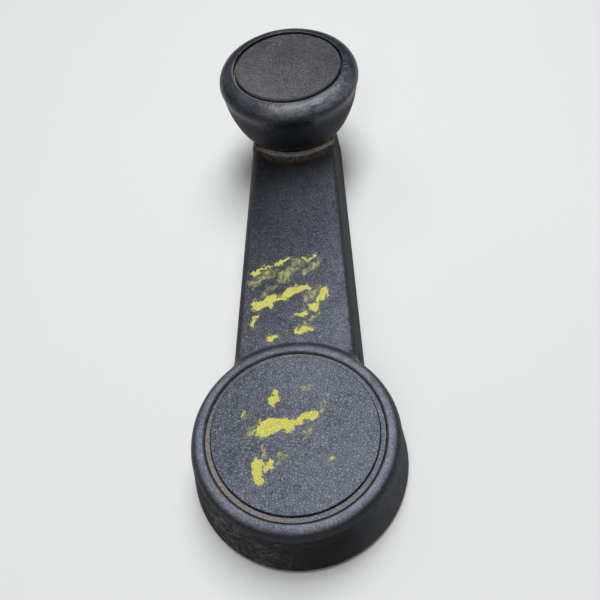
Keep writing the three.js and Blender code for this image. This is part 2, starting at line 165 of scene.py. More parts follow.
def revolve(profile, segments=144):
    """Points and faces of a profile turned about Z; it is closed, or starts and ends on the axis."""
    on_axis = profile[0][0] < 1e-6
    angles = np.arange(segments) * 2 * pi / segments
    points, rings = [], []
    for r, z in profile:
        if r < 1e-6:
            rings.append([len(points)] * segments)
            points.append((0, 0, z))
        else:
            rings.append(list(range(len(points), len(points) + segments)))
            points.extend((r * cos(a), r * sin(a), z) for a in angles)
    pairs = list(zip(rings, rings[1:]))
    if not on_axis:
        pairs.append((rings[-1], rings[0]))
    faces = []
    for low, high in pairs:
        for j in range(segments):
            k = (j + 1) % segments
            faces.append(list(dict.fromkeys((low[j], low[k], high[k], high[j]))))
    return np.array(points, float), faces


def prism(outline, low, high):
    """An outline in XY, anticlockwise, raised from one height to another."""
    count = len(outline)
    points = [(x, y, low) for x, y in outline] + [(x, y, high) for x, y in outline]
    faces = [list(range(count))[::-1], list(range(count, 2 * count))]
    for i in range(count):
        j = (i + 1) % count
        faces.append([i, j, j + count, i + count])
    return np.array(points, float), faces


def block(low, high):
    corners = [(low[0], low[1]), (high[0], low[1]), (high[0], high[1]), (low[0], high[1])]
    return prism(corners, low[2], high[2])


def arc(radius, start, end, count, centre=(0, 0)):
    turn = np.linspace(start, end, count)
    return [(centre[0] + radius * cos(a), centre[1] + radius * sin(a)) for a in turn]


def circle(radius, centre=(0, 0), segments=48):
    return arc(radius, 0, 2 * pi, segments + 1, centre)[:-1]


def rod(radius, low, high, centre=(0, 0), segments=48):
    return prism(circle(radius, centre, segments), low, high)


def turned_by(shape, angle):
    """A shape turned about Z."""
    points, faces = shape
    c, s = cos(angle), sin(angle)
    return points @ np.array([[c, s, 0], [-s, c, 0], [0, 0, 1]]), faces


def place(points, pose=UPRIGHT):
    """Points in millimetres, in a piece's own frame, as metres in the row frame."""
    pose = np.array(pose)
    world = points @ pose[:3, :3].T + pose[:3, 3]
    return (world - np.array([0, 0, SOCKET_TOP_Z])) * MM


def add_object(name, data):
    thing = bpy.data.objects.new(name, data)
    bpy.context.scene.collection.objects.link(thing)
    return thing


def mesh_object(name, shape, pose=UPRIGHT):
    mesh = bpy.data.meshes.new(name)
    mesh.from_pydata(place(shape[0], pose).tolist(), [], shape[1])
    mesh.validate()
    return add_object(name, mesh)


def bake(thing):
    """Applies a piece's modifiers to its mesh."""
    bpy.context.view_layer.update()
    graph = bpy.context.evaluated_depsgraph_get()
    made = bpy.data.meshes.new_from_object(thing.evaluated_get(graph))
    old = thing.data
    thing.modifiers.clear()
    thing.data = made
    made.name = thing.name
    bpy.data.meshes.remove(old)


def weld(thing):
    """Merges vertices that all but touch."""
    thing.modifiers.new("weld", "WELD").merge_threshold = 0.002 * MM


def combine(thing, operation, shapes, pose=UPRIGHT):
    """Cuts shapes from a piece, or joins them to it."""
    tools = []
    for i, shape in enumerate(shapes):
        tool = mesh_object(f"tool_{i}", shape, pose)
        tools.append(tool)
        change = thing.modifiers.new(f"change_{i}", "BOOLEAN")
        change.operation = operation
        change.solver = "EXACT"
        change.object = tool
    weld(thing)
    bake(thing)
    for tool in tools:
        mesh = tool.data
        bpy.data.objects.remove(tool)
        bpy.data.meshes.remove(mesh)


def soften(thing, width, angle=35, segments=2):
    """Small bevels on a piece's sharp edges."""
    bevel = thing.modifiers.new("soften", "BEVEL")
    bevel.width = width * MM
    bevel.segments = segments
    bevel.limit_method = "ANGLE"
    bevel.angle_limit = radians(angle)
    bevel.use_clamp_overlap = True
    bake(thing)


def dress(thing, body, finish, smooth=40):
    """Finishes a piece: smooth shading, material, and the CAD node and body it goes with."""
    material, slot = finish
    mesh = thing.data
    if smooth:
        mesh.shade_smooth()
        mesh.set_sharp_from_angle(angle=radians(smooth))
    mesh.materials.clear()
    mesh.materials.append(material)
    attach(thing, body)
    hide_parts(thing.name.removesuffix("_look"))
    return thing


# ---------------- materials


class Field:
    """A number that varies over a surface. It takes ordinary arithmetic."""

    def __init__(self, look, socket):
        self.look = look
        self.socket = socket

    def __add__(self, other):
        return self.look.math("ADD", self, other)

    def __sub__(self, other):
        return self.look.math("SUBTRACT", self, other)

    def __rsub__(self, other):
        return self.look.math("SUBTRACT", other, self)

    def __mul__(self, other):
        return self.look.math("MULTIPLY", self, other)

    def least(self, other):
        return self.look.math("MINIMUM", self, other)

    def most(self, other):
        return self.look.math("MAXIMUM", self, other)

    def rise(self, low, high):
        """0 below low, 1 above high, smooth between; falls instead where low is above high."""
        inputs = {"Value": self, "From Min": min(low, high), "From Max": max(low, high)}
        inputs |= {"To Min": float(low > high), "To Max": float(low < high)}
        made = self.look.node("ShaderNodeMapRange", inputs, interpolation_type="SMOOTHSTEP")
        return Field(self.look, made.outputs["Result"])

    def blend(self, a, b):
        """One number where this is 0, the other where it is 1."""
        made = self.look.node("ShaderNodeMix", {0: self, 2: a, 3: b}, data_type="FLOAT")
        return Field(self.look, made.outputs[0])

    def tint(self, a, b):
        """One colour where this is 0, the other where it is 1."""
        return self.look.node("ShaderNodeMix", {0: self, 6: a, 7: b}, data_type="RGBA").outputs[2]


class Look:
    """A procedural material in the making. Its textures are in millimetres."""

    def __init__(self, name):
        self.material = bpy.data.materials.new(name)
        self.material.use_nodes = True
        self.tree = self.material.node_tree
        self.tree.nodes.clear()
        self.shader = self.node("ShaderNodeBsdfPrincipled")
        output = self.node("ShaderNodeOutputMaterial")
        self.tree.links.new(self.shader.outputs["BSDF"], output.inputs["Surface"])
        coordinates = self.node("ShaderNodeTexCoord").outputs["Object"]
        self.place = self.vector("SCALE", coordinates, scale=1 / MM)
        self.colour = BLACK
        self.roughness = 0.5
        self.bumps = None

    def node(self, kind, inputs=None, **settings):
        made = self.tree.nodes.new(kind)
        for key, value in settings.items():
            setattr(made, key, value)
        for key, value in (inputs or {}).items():
            self.feed(made.inputs[key], value)
        return made

    def feed(self, socket, value):
        """Links a field or a socket to a socket, or sets a number, vector or colour on it."""
        if isinstance(value, Field):
            value = value.socket
        if isinstance(value, bpy.types.NodeSocket):
            self.tree.links.new(value, socket)
        elif socket.type == "RGBA":
            socket.default_value = (*value, 1)
        else:
            socket.default_value = value

    def vector(self, operation, a, b=None, scale=None):
        inputs = {0: a, 1: b, "Scale": scale}
        inputs = {key: value for key, value in inputs.items() if value is not None}
        made = self.node("ShaderNodeVectorMath", inputs, operation=operation)
        if operation in ("LENGTH", "DOT_PRODUCT"):
            return Field(self, made.outputs["Value"])
        return made.outputs["Vector"]

    def math(self, operation, a, b):
        return Field(self, self.node("ShaderNodeMath", {0: a, 1: b}, operation=operation).outputs[0])

    def noise_node(self, scale, detail, roughness, at=None):
        inputs = {"Vector": at or self.place, "Scale": scale, "Detail": detail, "Roughness": roughness}
        return self.node("ShaderNodeTexNoise", inputs)

    def noise(self, scale, detail=3, roughness=0.55, at=None):
        return Field(self, self.noise_node(scale, detail, roughness, at).outputs["Fac"])

    def wander(self, at, distance, scale, detail=3, roughness=0.6, middle=0.5):
        """A place pushed about by a noise, whose middle value leaves it where it is."""
        cloud = self.noise_node(scale, detail, roughness).outputs["Color"]
        push = self.vector("SUBTRACT", cloud, (middle,) * 3)
        return self.vector("ADD", at, self.vector("SCALE", push, scale=distance))

    def pebbles(self, scale, at):
        """Distance from the creases between pebbles, in the pebbles' own size."""
        made = self.node("ShaderNodeTexVoronoi", {"Vector": at, "Scale": scale}, feature="DISTANCE_TO_EDGE")
        return Field(self, made.outputs["Distance"])

    def stretched(self, x, y, z=1):
        return self.vector("MULTIPLY", self.place, (x, y, z))

    def along(self, x, y, start_y=0):
        """Distance in a level direction from an upright axis over the arm's middle."""
        return self.vector("DOT_PRODUCT", self.vector("SUBTRACT", self.place, (0, start_y, 0)), (x, y, 0))

    def away_from(self, axis_y):
        """Level distance from an upright axis over the arm's middle."""
        return self.vector("LENGTH", self.vector("SUBTRACT", self.stretched(1, 1, 0), (0, axis_y, 0)))

    def axes(self):
        """The place's x, y and z, with z from the trim's plane."""
        split = self.node("ShaderNodeSeparateXYZ", {0: self.place})
        x, y, z = (Field(self, output) for output in split.outputs)
        return x, y, z + SOCKET_TOP_Z

    def facing(self):
        """How far the surface faces up, -1 to 1."""
        normal = self.node("ShaderNodeNewGeometry").outputs["Normal"]
        return Field(self, self.node("ShaderNodeSeparateXYZ", {0: normal}).outputs[2])

    def edges(self):
        """Convex edges, where wear shows."""
        return Field(self, self.node("ShaderNodeNewGeometry").outputs["Pointiness"])

    def raise_by(self, height, distance, strength=1):
        """Adds a bump whose full height is a distance in millimetres."""
        inputs = {"Height": height, "Strength": strength, "Distance": distance * MM}
        if self.bumps is not None:
            inputs["Normal"] = self.bumps
        self.bumps = self.node("ShaderNodeBump", inputs).outputs["Normal"]

    def coat(self, mask, colour, roughness=None):
        """Covers what is there with a colour, and a roughness, as far as the mask says."""
        self.colour = mask.tint(self.colour, colour)
        if roughness is not None:
            self.roughness = mask.blend(self.roughness, roughness)

    def done(self, specular=0.5):
        self.feed(self.shader.inputs["Base Color"], self.colour)
        self.feed(self.shader.inputs["Roughness"], self.roughness)
        self.shader.inputs["Specular IOR Level"].default_value = specular
        if self.bumps is not None:
            self.feed(self.shader.inputs["Normal"], self.bumps)
        return self.material

    def smears(self, strokes, ragged):
        """Distance, in millimetres, to the nearest of some ragged strokes seen from above."""
        spot = self.wander(self.place, 3.4 * ragged, 0.35, 2, 0.55)
        spot = self.wander(spot, 1.1 * ragged, 1.1)
        flat = self.vector("MULTIPLY", spot, (1, 1, 0))
        nearest = None
        for x0, y0, x1, y1, width in strokes:
            run = Vector((x1 - x0, y1 - y0, 0))
            start = self.vector("SUBTRACT", flat, (x0, y0, 0))
            share = self.vector("DOT_PRODUCT", start, tuple(run / run.length_squared)).most(0).least(1)
            along = self.vector("SCALE", tuple(run), scale=share)
            away = self.vector("LENGTH", self.vector("SUBTRACT", start, along))
            away = away - share.blend(0.55 * width, 0.35 * width)
            nearest = away if nearest is None else nearest.least(away)
        return nearest


BLACK = (0.014, 0.0155, 0.0205)
# DEEP_BLACK darkens the grain's creases, and paints the knob's shadow on the arm
DEEP_BLACK = (0.007, 0.008, 0.011)
# painted shade: darker copies of the black for the walls, their tops under the bead darkest, and for the
# roundings
WALL_SHADE_BLACK = (0.0078, 0.0083, 0.01)
FOOT_SHADE_BLACK = (0.0125, 0.013, 0.015)
ROUNDING_SHADE_BLACK = (0.006, 0.0065, 0.008)
KNOB_BLACK = (0.009, 0.011, 0.0165)
DISC_BLACK = (0.014, 0.0145, 0.018)
DUST = (0.265, 0.285, 0.345)
DIRT = (0.3, 0.262, 0.225)
PALE_DIRT = (0.78, 0.7, 0.61)
SOIL = (0.38, 0.315, 0.26)
SCUFF = (0.3, 0.295, 0.29)
PALE_SCUFF = (0.42, 0.412, 0.4)
PAINT = (0.74, 0.69, 0.115)
PAINT_PALE = (0.74, 0.705, 0.215)
PAINT_THIN = (0.225, 0.26, 0.125)

# Strokes of paint as (x, y) to (x, y) and a width.
ARM_SMEARS = (
    (-10.6, 46.6, -6.4, 48.6, 1.1),
    (-5.2, 49.3, -1.2, 50.8, 1.3),
    (1.6, 50.2, 5.8, 51.7, 0.9),
    (-9.6, 36.4, -6.4, 37.8, 3),
    (-6.4, 37.9, -3.4, 38.4, 1.9),
    (-1.8, 40, 3.4, 41.4, 2.6),
    (6.6, 38, 7.9, 40.6, 2.3),
    (0.4, 32.6, 2.6, 33.4, 1),
    (4.4, 34.6, 6.4, 36.1, 1.3),
    (-10.9, 30.4, -9.8, 33, 1.1),
    (-6, 26.6, -4.9, 26.9, 2.2),
    (0.5, 28.2, 3.9, 28.7, 1.5),
)
ARM_THIN_SMEARS = (
    (-11.2, 43.6, -4.6, 47.4, 1.9),
    (-3.4, 44.2, 0.4, 49.4, 2.2),
    (2.8, 46.2, 7.4, 50.6, 1.5),
    (-3, 38.6, -0.6, 41.4, 1),
    (3.6, 38.2, 6.8, 41.6, 1.6),
    (-8.2, 39.6, -5.2, 42.4, 0.9),
    (2.4, 29.4, 5.8, 33.4, 0.8),
)
HUB_SMEARS = (
    (-6.4, 0.6, -2.6, 2, 3.7),
    (-2.6, 1.5, 1, 2.2, 2.9),
    (1.4, 3, 5, 4.2, 2),
    (-4.4, 7, -4.2, 9.8, 1.8),
    (-8.5, -8, -7.2, -11, 2.6),
    (-6, -7.4, -5.4, -8.4, 1.4),
    (-11.3, 4.9, -11, 3.9, 0.6),
    (8.7, -6.7, 9.2, -7, 0.6),
)
HUB_THIN_SMEARS = (
    (-10, -0.2, -7.4, 0.4, 1.5),
    (-7.6, -5.6, -6.8, -2.2, 0.6),
    (-3.6, -6.6, -2.8, -5.4, 1),
    (6, 5.4, 7.6, 8.2, 0.6),
    (0.8, 10.6, 4.6, 11, 0.4),
    (2.6, -1.2, 4.2, 0.8, 0.9),
)




def add_paint(look, thick, thin, relief):
    """Ragged dabs of paint on the faces that look up, worn thin along some strokes."""
    up = look.facing().rise(0.55, 0.8)
    bristles = look.noise(1.2, 3, 0.6, look.stretched(0.9, 0.35)).rise(0.36, 0.6)
    rubbed = look.noise(0.7, 3, 0.6).rise(0.38, 0.55)
    reach = look.smears(thick, 1.5)
    holes = look.noise(1.3, 3, 0.6).rise(0.68, 0.76) * reach.rise(-1.2, -0.2)
    full = reach.rise(0.08, -0.08) * up * (1 - holes)
    fringe = reach.rise(0.85, 0) * up * rubbed * relief
    streaked = bristles.blend(0.25, 1) * relief.blend(0.6, 1)
    worn = look.smears(thin, 1.3).rise(0.6, -0.5) * up * streaked
    look.coat((worn * 0.8).most(fringe * 0.5), rubbed.tint(PAINT_THIN, PAINT_PALE))
    tint = look.noise(0.8, 4, 0.65).rise(0.3, 0.7).tint(PAINT, PAINT_PALE)
    tint = (look.noise(3, 3, 0.7).rise(0.58, 0.7) * 0.35).tint(tint, PAINT_THIN)
    look.raise_by(full, 0.07, 0.7)
    look.coat(full, tint, 0.45)


class Moulding(Look):
    """Dark moulded plastic with a fine leather grain, in the finish of the hub and the arm."""

    def __init__(self, name):
        super().__init__(name)
        self.x, self.y, self.z = self.axes()
        self.up = self.facing()
        self.radius = self.away_from(0)
        self.on_bead = self.radius.rise(20.1, 20.5) * self.radius.rise(25.2, 24.6) * self.z.rise(8.5, 13.5)
        self.wall = self.up.rise(0.5, 0.2) * self.z.rise(0.2, 2)
        at = self.wander(self.place, 1.1, 1.1, middle=0)
        self.grain = self.pebbles(1.6, at).rise(0, 0.22) * 0.6 + self.pebbles(3.1, at).rise(0, 0.28) * 0.4
        self.fine = self.noise(5, 3, 0.65)
        self.mottle = self.noise(0.55, 4, 0.7).rise(0.32, 0.68)
        self.top = self.on_bead.blend(self.up.rise(0.5, 0.97), self.up.rise(0.72, 0.98))
        self.scratches = self.noise(0.9, 4, 0.65, self.stretched(0.16, 2.6)).rise(0.6, 0.68) * self.top

    def top_dust_and_knob_shadow(self):
        """Dust lies on what faces up, the tops growing lighter towards the hub and to the right; towards the
        knob the dust thins and the black deepens, a painted shadow of the knob.
        """
        patches = self.noise(0.07, 4, 0.6).rise(0.35, 0.7)
        speckle = self.noise(2.3, 4, 0.75).rise(0.5, 0.74)
        pale = self.noise(1.7, 2, 0.5).rise(0.45, 0.68)
        dust = speckle * 0.22 + pale * self.grain * 0.26
        dust = dust + patches.blend(0.42, 0.6) * self.mottle.blend(0.75, 1.15)
        # the tops grow lighter towards the hub and to the right; the falloff towards the knob paints in the
        # knob's shadow
        towards_hub = self.along(0.5, -0.5) + self.noise(0.05) * 10
        for low, high, far, near in ((-26, -3, 0.42, 1), (-43, -22, 0.07, 1), (-5, 12, 0.95, 1.16)):
            dust = dust * towards_hub.rise(low, high).blend(far, near)
        dust = dust * self.x.rise(-16, 14).blend(1.5, 1.78)
        dust = dust * (self.on_bead * self.x.rise(-8, -18)).blend(1, 1.45)
        near_hub = towards_hub.rise(-30, -6)
        grained = self.grain.blend(near_hub.blend(0.35, 0.68), near_hub.blend(1.45, 1.22))
        dust = dust * self.top.blend(0.03, 1) * self.on_bead.blend(grained, 0.8)
        # painted shadow of the knob: the base black deepens towards it
        self.colour = towards_hub.rise(-44, -22).tint(DEEP_BLACK, BLACK)
        self.roughness = self.on_bead.blend(patches.blend(0.36, 0.44), 0.36) + (self.fine - 0.5) * 0.14
        self.coat(dust, DUST, 0.5)
        self.coat((1 - self.grain) * 0.55, DEEP_BLACK)

    def walls_wear_and_shade(self):
        """Walls in a darker copy of the black, darkest at the top, and roundings darker still, both painted
        shade; greyed by dust along the arm and the right, where it also paints in light; scuffed at the hub's
        near left.
        """
        # painted shade: the walls get a darker copy of the black, darkest at the top, under the bead
        self.coat(self.wall * 0.92, self.z.rise(11, 5).tint(WALL_SHADE_BLACK, FOOT_SHADE_BLACK))
        self.roughness = self.wall.blend(self.roughness, 0.95)
        # painted shade: the roundings between the tops and the walls, picked by how far they tilt, are
        # darkened
        rounding = self.up.rise(0.3, 0.5) * self.up.rise(0.95, 0.8)
        rounding = rounding * (1 - self.on_bead) * self.z.rise(8, 11)
        self.coat(rounding * 0.75, ROUNDING_SHADE_BLACK)
        at_right = self.along(0.95, -0.3).rise(15, 25)
        low_left = self.along(-0.8, -0.6).rise(12, 24.5)
        on_arm = self.y.rise(20, 26)
        # grey dust on the walls along the arm and on the right; on the right it also paints in the light
        # those walls catch
        greyed_and_lit = at_right.most(on_arm * 0.7) * self.wall
        self.coat(greyed_and_lit * self.mottle.blend(0.55, 0.78) * self.grain.blend(0.7, 1), (0.14, 0.146, 0.164))
        clouds = self.noise(0.16, 5, 0.7).rise(0.4, 0.58)
        cloudy = self.noise(0.8, 6, 0.8).rise(0.44, 0.58) * self.wall * clouds.blend(0.2, 1)
        worn = low_left.most(on_arm * 0.14)
        self.coat(cloudy * worn.blend(0.03, 0.85), (0.16, 0.158, 0.157))
        scuffs = self.noise(1.7, 6, 0.8, self.stretched(0.8, 0.8)).rise(0.56, 0.66) * self.wall
        self.coat(scuffs * (worn * clouds.blend(0.3, 1)).blend(0.03, 0.9), PALE_SCUFF)

    def nicks_and_scratches(self):
        self.coat(self.noise(1.9, 2, 0.5).rise(0.745, 0.775) * self.on_bead.blend(0.25, 0.8), SCUFF)
        self.coat(self.scratches * 0.26, (0.2, 0.205, 0.225))

    def groove_dirt(self):
        """Dust on the pocket's rim, and dirt packed in the groove round the hub cap."""
        lip = self.radius.rise(20.15, 20.3) * self.radius.rise(21, 20.6) * self.z.rise(16.1, 16.5)
        self.coat(lip * self.mottle.blend(0.35, 0.75), (0.12, 0.12, 0.128))
        groove = self.radius.rise(19.15, 19.45) * self.radius.rise(20.35, 20.05)
        groove = groove * self.z.rise(HUB_TOP_Z - 0.15, HUB_TOP_Z - 0.4) * self.z.rise(14.5, 15.5)
        left_arc = self.along(-0.76, -0.65).rise(8, 18)
        right_arc = self.along(0.6, -0.8).rise(18.4, 19.7)
        crumbs = self.noise(1.3, 4, 0.75).rise(0.3, 0.58).blend(0.25, 1)
        self.coat(groove * (left_arc.most(right_arc * 0.45) * 0.85 + 0.12) * crumbs, DIRT, 0.9)

    def seat_dirt(self):
        """A pale ring of dirt on the boss in front of the knob, with darker soil round it."""
        away = self.away_from(REACH)
        in_front = self.x.rise(-13, -7) * self.x.rise(13.4, 10) * self.y.rise(REACH, REACH - 6)
        seat = away.rise(15.6, 16.2) * away.rise(17.6, 17) * self.z.rise(15.4, 16) * in_front
        clumps = self.noise(0.7, 5, 0.75).rise(0.38, 0.58)
        soiled = away.rise(15.8, 16.5) * away.rise(20.6, 17.6) * self.z.rise(14.5, 15.5)
        soiled = soiled * in_front * clumps.blend(0.2, 0.8)
        self.coat(soiled, SOIL)
        self.coat(seat * clumps.blend(0.62, 1), PALE_DIRT)
        self.roughness = seat.most(soiled).blend(self.roughness, 0.85)


def moulded_plastic(name, thick_smears, thin_smears):
    look = Moulding(name)
    look.top_dust_and_knob_shadow()
    look.walls_wear_and_shade()
    look.nicks_and_scratches()
    look.groove_dirt()
    look.seat_dirt()
    depth = look.on_bead.blend(1, 0.45)
    look.raise_by(look.grain, 0.24, depth * 0.9)
    look.raise_by(look.fine, 0.06, depth * 0.6)
    look.raise_by(look.mottle, 0.1, depth * 0.6)
    look.raise_by(look.noise(0.12), 0.25, 0.35)
    look.raise_by(look.scratches, -0.05, 0.5)
    add_paint(look, thick_smears, thin_smears, look.grain.rise(0.3, 0.8).blend(0.45, 1))
    return look.done(0.23), "moulded_plastic"


def disc_gap_dust(look):
    """Dust caught round the edge of the knob's disc, most of it at the near left."""
    axis_y = REACH - 0.7
    radius = look.away_from(axis_y)
    ring = radius.rise(15.55, 15.85) * radius.rise(16.75, 16.25)
    side = look.along(-0.8, -0.6, axis_y).rise(6, 14.5)
    broken = look.noise(1.1, 4, 0.7).rise(0.38, 0.6)
    return ring * side.blend(0.06, 0.6) * broken.blend(0.15, 1)


def rubbed_plastic():
    """The knob's plastic: smooth, polished by hands, with scuffs, grey handling wear, and a painted highlight
    with glints on the front of the rim.
    """
    look = Look("knob_plastic")
    z = look.axes()[2]
    up = look.facing()
    wide = look.noise(0.09, 4, 0.6).rise(0.35, 0.68)
    fine = look.noise(3.6, 4, 0.65)
    top = up.rise(0.25, 0.85)
    look.colour = KNOB_BLACK
    look.roughness = z.rise(27, 31.5).blend(0.68, wide.blend(0.26, 0.4))
    look.coat(wide.blend(0.35, 1) * fine.rise(0.36, 0.7) * top.blend(0.15, 1), (0.085, 0.09, 0.108))
    # painted highlight: a streaky bluish-grey light patch on the front of the rim
    near = look.along(0.42, -0.9, REACH).rise(9, 19)
    highlight_streaks = look.noise(0.55, 5, 0.7, look.stretched(0.45, 1, 1.6))
    painted_rim_highlight = near * highlight_streaks.rise(0.28, 0.64) * up.rise(0.1, 0.6)
    look.coat(painted_rim_highlight * z.rise(27, 30) * 0.7, (0.165, 0.172, 0.2))
    scuffs = look.noise(1.5, 5, 0.75, look.stretched(0.4, 1.6)).rise(0.6, 0.7)
    look.coat(scuffs * top.blend(0.15, 0.4), (0.13, 0.13, 0.135))
    pits = look.noise(1.15, 2, 0.5).rise(0.75, 0.79)
    # painted glints on the front of the rim, in the scuffs' colour; the pits beside them are real nicks
    glints = near * look.noise(1.3, 2, 0.5).rise(0.7, 0.74) * up.rise(0.2, 0.6)
    look.coat((pits * 0.6).most(glints * 0.7), SCUFF)
    grime = z.rise(23.5, 19) * look.noise(0.8, 4, 0.7).rise(0.4, 0.7)
    look.coat(grime * 0.6, (0.05, 0.045, 0.042))
    look.coat(z.rise(19.6, 18.9) * wide.blend(0.4, 0.9) * 0.5, DIRT)
    look.coat(look.edges().rise(0.54, 0.62) * 0.3, (0.09, 0.09, 0.095))
    look.roughness = scuffs.most(grime).blend(look.roughness, 0.62)
    look.coat(disc_gap_dust(look), DIRT, 0.85)
    look.raise_by(look.noise(0.3, 3, 0.5), 0.6, 0.6)
    look.raise_by(look.noise(0.9, 4, 0.65), 0.16, 0.8)
    look.raise_by(fine, 0.03, 0.6)
    look.raise_by(1 - pits, 0.08, 0.6)
    return look.done(0.34), "knob_plastic"


def disc_plastic():
    """The knob's disc: matt, finely grained, grey with dust, with painted shade round its edge."""
    look = Look("inlay_plastic")
    wide = look.noise(0.09, 4, 0.6).rise(0.3, 0.7)
    grain = look.noise(1.8, 5, 0.8)
    mottle = look.noise(0.3, 5, 0.7)
    creases = look.pebbles(1.7, look.wander(look.place, 1.2, 1.2, middle=0)).rise(0.02, 0.22)
    look.colour = DISC_BLACK
    look.roughness = (grain - 0.5) * 0.2 + 0.58
    look.coat(wide, (0.062, 0.061, 0.065))
    look.coat(grain.rise(0.4, 0.62) * 0.8, (0.092, 0.092, 0.102))
    look.coat(mottle.rise(0.4, 0.64) * 0.5, (0.118, 0.118, 0.13))
    low_left = look.along(-0.6, -0.8, REACH).rise(-6, 15)
    look.coat(low_left * grain.rise(0.3, 0.6) * 0.45, (0.19, 0.188, 0.196))
    look.coat(look.noise(2, 3, 0.7).rise(0.54, 0.66) * wide.blend(0.3, 0.7), (0.29, 0.286, 0.292))
    look.coat((1 - creases) * 0.7, (0.008, 0.008, 0.01))
    look.coat(look.noise(0.8, 4, 0.7, look.stretched(0.25, 2.2)).rise(0.66, 0.7) * 0.25, SCUFF)
    # painted shade: a black ring round the disc's edge, where the gap to the rim is in shadow
    look.coat(look.away_from(REACH).rise(15.2, 15.7), BLACK)
    look.coat(disc_gap_dust(look), DIRT)
    look.raise_by(creases, 0.1, 0.7)
    look.raise_by(grain, 0.1, 0.8)
    look.raise_by(mottle, 0.3, 0.6)
    look.raise_by(look.noise(0.1, 2), 0.35, 0.4)
    return look.done(0.45), "inlay_plastic"


def plain_plastic(name, base, dirt, amount, roughness):
    """A smooth engineering plastic with grime and handling marks."""
    look = Look(name)
    fine = look.noise(4.5, 3, 0.6)
    look.colour = base
    look.roughness = (fine - 0.5) * 0.25 + roughness
    look.coat(look.noise(0.35, 4, 0.65).rise(0.35, 0.65).blend(0.3, 1) * amount, dirt)
    look.coat(fine.rise(0.55, 0.75) * 0.3, tuple(0.6 * c for c in dirt))
    look.raise_by(fine, 0.02, 0.5)
    look.raise_by(look.noise(0.8), 0.05, 0.4)
    return look.done(0.45), name


def metal(name, base, dull, roughness, grime, cast=0):
    """Bare or plated metal with dulling, fine marks and dirt in patches."""
    look = Look(name)
    fine = look.noise(3.2, 4, 0.65)
    dirt = look.noise(0.6, 5, 0.7).rise(0.56, 0.72) * grime
    look.colour = base
    look.roughness = (fine - 0.5) * 0.22 + roughness
    look.coat(look.noise(0.22, 5, 0.65).rise(0.38, 0.66), dull)
    look.coat(dirt, (0.1, 0.078, 0.06), 0.8)
    look.feed(look.shader.inputs["Metallic"], 1 - dirt * 0.8)
    look.raise_by(fine, 0.015, 0.5)
    if cast:
        look.raise_by(look.noise(2.2, 5, 0.75), cast, 0.6)
    return look.done(), name


# A finish is a material and the name of a CAD slot.
hub_finish = moulded_plastic("hub_cap_plastic", HUB_SMEARS, HUB_THIN_SMEARS)
arm_finish = moulded_plastic("crank_arm_plastic", ARM_SMEARS, ARM_THIN_SMEARS)
knob_finish = rubbed_plastic()
disc_finish = disc_plastic()
light_acetal = plain_plastic("light_acetal", (0.36, 0.31, 0.25), (0.12, 0.09, 0.065), 0.7, 0.55)
black_acetal = plain_plastic("black_acetal", (0.018, 0.018, 0.02), (0.09, 0.082, 0.075), 0.4, 0.42)
zinc = metal("zinc_casting", (0.42, 0.43, 0.44), (0.3, 0.3, 0.3), 0.42, 0.5, cast=0.04)
plated = metal("plated_steel", (0.56, 0.54, 0.46), (0.38, 0.36, 0.3), 0.32, 0.6)
dark_spring = metal("spring_steel", (0.15, 0.15, 0.155), (0.09, 0.085, 0.08), 0.35, 0.5)


# ---------------- crank arm


def smooth_min(a, b, k):
    """The lower of two distances, rounded over k where they cross."""
    h = np.clip(0.5 + 0.5 * (b - a) / k, 0, 1)
    return b + (a - b) * h - k * h * (1 - h)


def smooth_max(a, b, k):
    return -smooth_min(-a, -b, k)


def tapered(x, y, r0, r1):
    """Distance to two circles, on the crank's axis and the spindle's, and their tangents."""
    x = np.abs(x)
    lean = (r0 - r1) / REACH
    rise = sqrt(1 - lean * lean)
    along = rise * y - lean * x
    near = np.hypot(x, y) - r0
    far = np.hypot(x, y - REACH) - r1
    side = rise * x + lean * y - r0
    return np.where(along < 0, near, np.where(along > rise * REACH, far, side))


def corner(u, v, radius):
    """Distance inside two faces whose edge is rounded."""
    u = u + radius
    v = v + radius
    return np.minimum(np.maximum(u, v), 0) + np.hypot(np.maximum(u, 0), np.maximum(v, 0)) - radius


def box_distance(p, low, high):
    q = [np.abs(p[i] - (low[i] + high[i]) / 2) - (high[i] - low[i]) / 2 for i in range(3)]
    outside = np.sqrt(sum(np.maximum(a, 0) ** 2 for a in q))
    return outside + np.minimum(np.maximum(np.maximum(q[0], q[1]), q[2]), 0)


def tube_distance(p, inner, outer, low, high, centre=(0, 0)):
    r = np.hypot(p[0] - centre[0], p[1] - centre[1])
    return np.maximum(np.maximum(r - outer, inner - r), np.maximum(low - p[2], p[2] - high))


def on_spindle(p):
    """Places in the spindle's frame."""
    pose = np.array(SPINDLE)
    turn = pose[:3, :3].T
    shifted = [p[i] - pose[i, 3] for i in range(3)]
    return [sum(turn[i, j] * shifted[j] for j in range(3)) for i in range(3)]


def hub_outside(p):
    r = np.hypot(p[0], p[1])
    centre_r = BEAD_OUT_R - BEAD_R
    centre_z = HUB_TOP_Z - BEAD_R
    bead = np.hypot(np.maximum(r - centre_r, 0), p[2] - centre_z) - BEAD_R
    top = centre_z - 0.4
    top_r = BEAD_OUT_R - 0.05
    lean = atan2(HUB_BASE_R - top_r, top - RIM_Z)
    skirt = (r - top_r) * cos(lean) + (p[2] - top) * sin(lean)
    skirt = np.maximum(skirt, p[2] - top)
    return smooth_min(bead, skirt, 0.5)


def arm_inside(p, wall):
    """Distance to the arm's outside, or to its hollow for a given wall."""
    radius = max(ARM_ROUND - wall, 0.4)
    shoulder = arm_top(p[1]) - wall - radius
    side = tapered(p[0], p[1], ARM_R0 - wall, ARM_R1 - wall) - (shoulder - p[2]) * DRAFT
    return corner(side * cos(DRAFT_ANGLE), p[2] - arm_top(p[1]) + wall, radius)


def hollow(p, wall):
    r = np.hypot(p[0], p[1])
    high = DECK_Z + WALL - wall
    side = (r - (HUB_BASE_R - wall - (p[2] - RIM_Z) * DRAFT)) * cos(DRAFT_ANGLE)
    return np.minimum(np.maximum(side, p[2] - high), arm_inside(p, wall))


